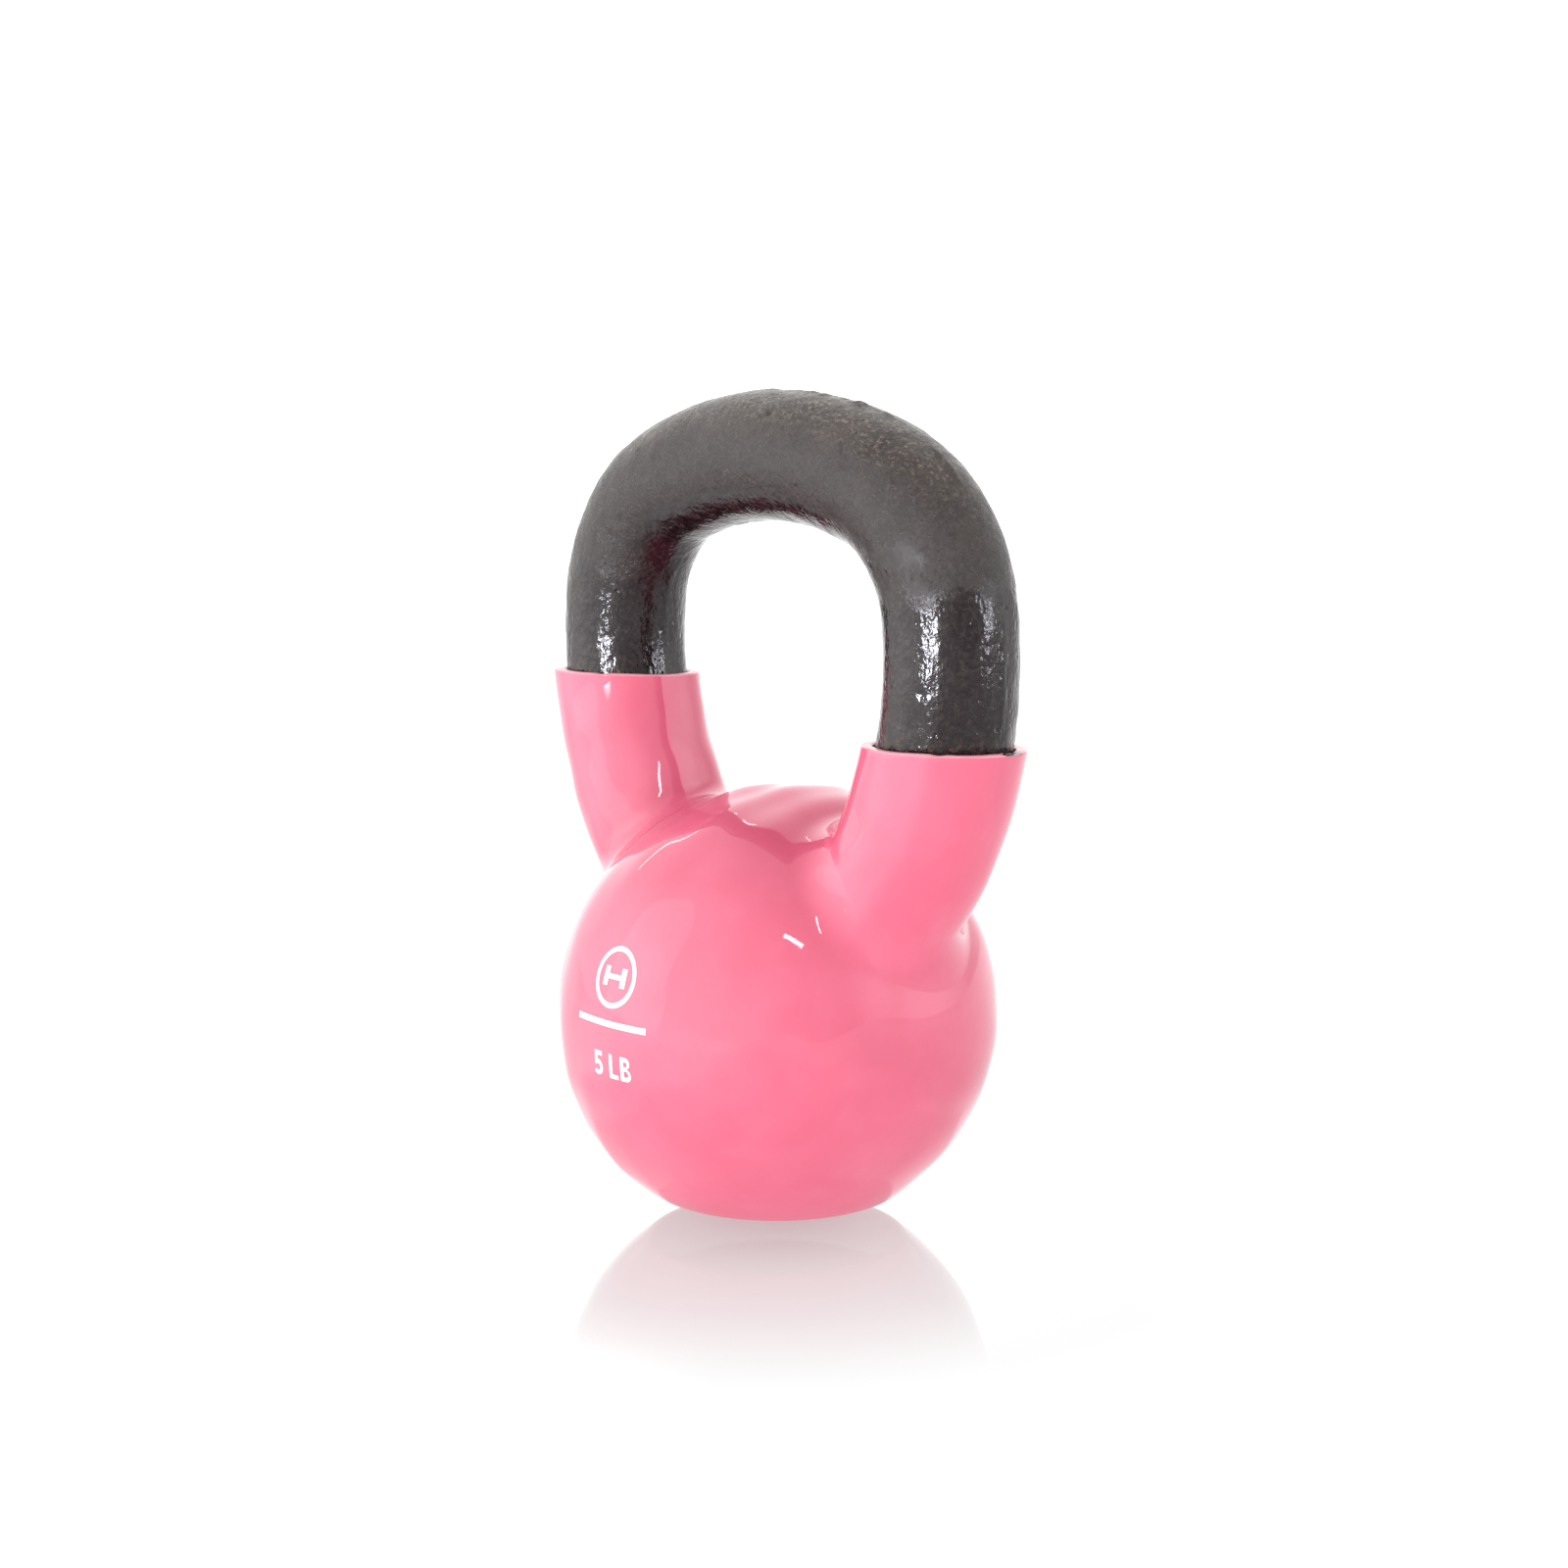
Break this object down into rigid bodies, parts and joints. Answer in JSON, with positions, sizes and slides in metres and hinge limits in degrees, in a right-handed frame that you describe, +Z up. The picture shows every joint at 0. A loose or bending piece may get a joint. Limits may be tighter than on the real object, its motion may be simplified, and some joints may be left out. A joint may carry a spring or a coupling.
{
  "type": "kettlebell",
  "caption": "Small kettlebell: a cast-iron ball with an arched round handle, dipped in glossy vinyl over the ball and horns, with a flat base.",
  "frame": {"origin": "centre of the flat base, on the surface that the kettlebell stands on", "axes": "+Z up; the handle's arch lies in the XZ plane; the printed face looks along -Y"},
  "size_m": [0.1103, 0.0805, 0.1444],
  "materials": {
    "enamelled_iron": "satin",
    "pink_vinyl": "gloss",
    "white_ink": "satin"
  },
  "bodies": {
    "root": {"bell_casting": "enamelled_iron", "vinyl_skin": "pink_vinyl", "print_ring": "white_ink", "print_dumbbell": "white_ink", "print_rule": "white_ink", "print_digit_5": "white_ink", "print_letter_L": "white_ink", "print_letter_B": "white_ink"}
  },
  "joints": []
}
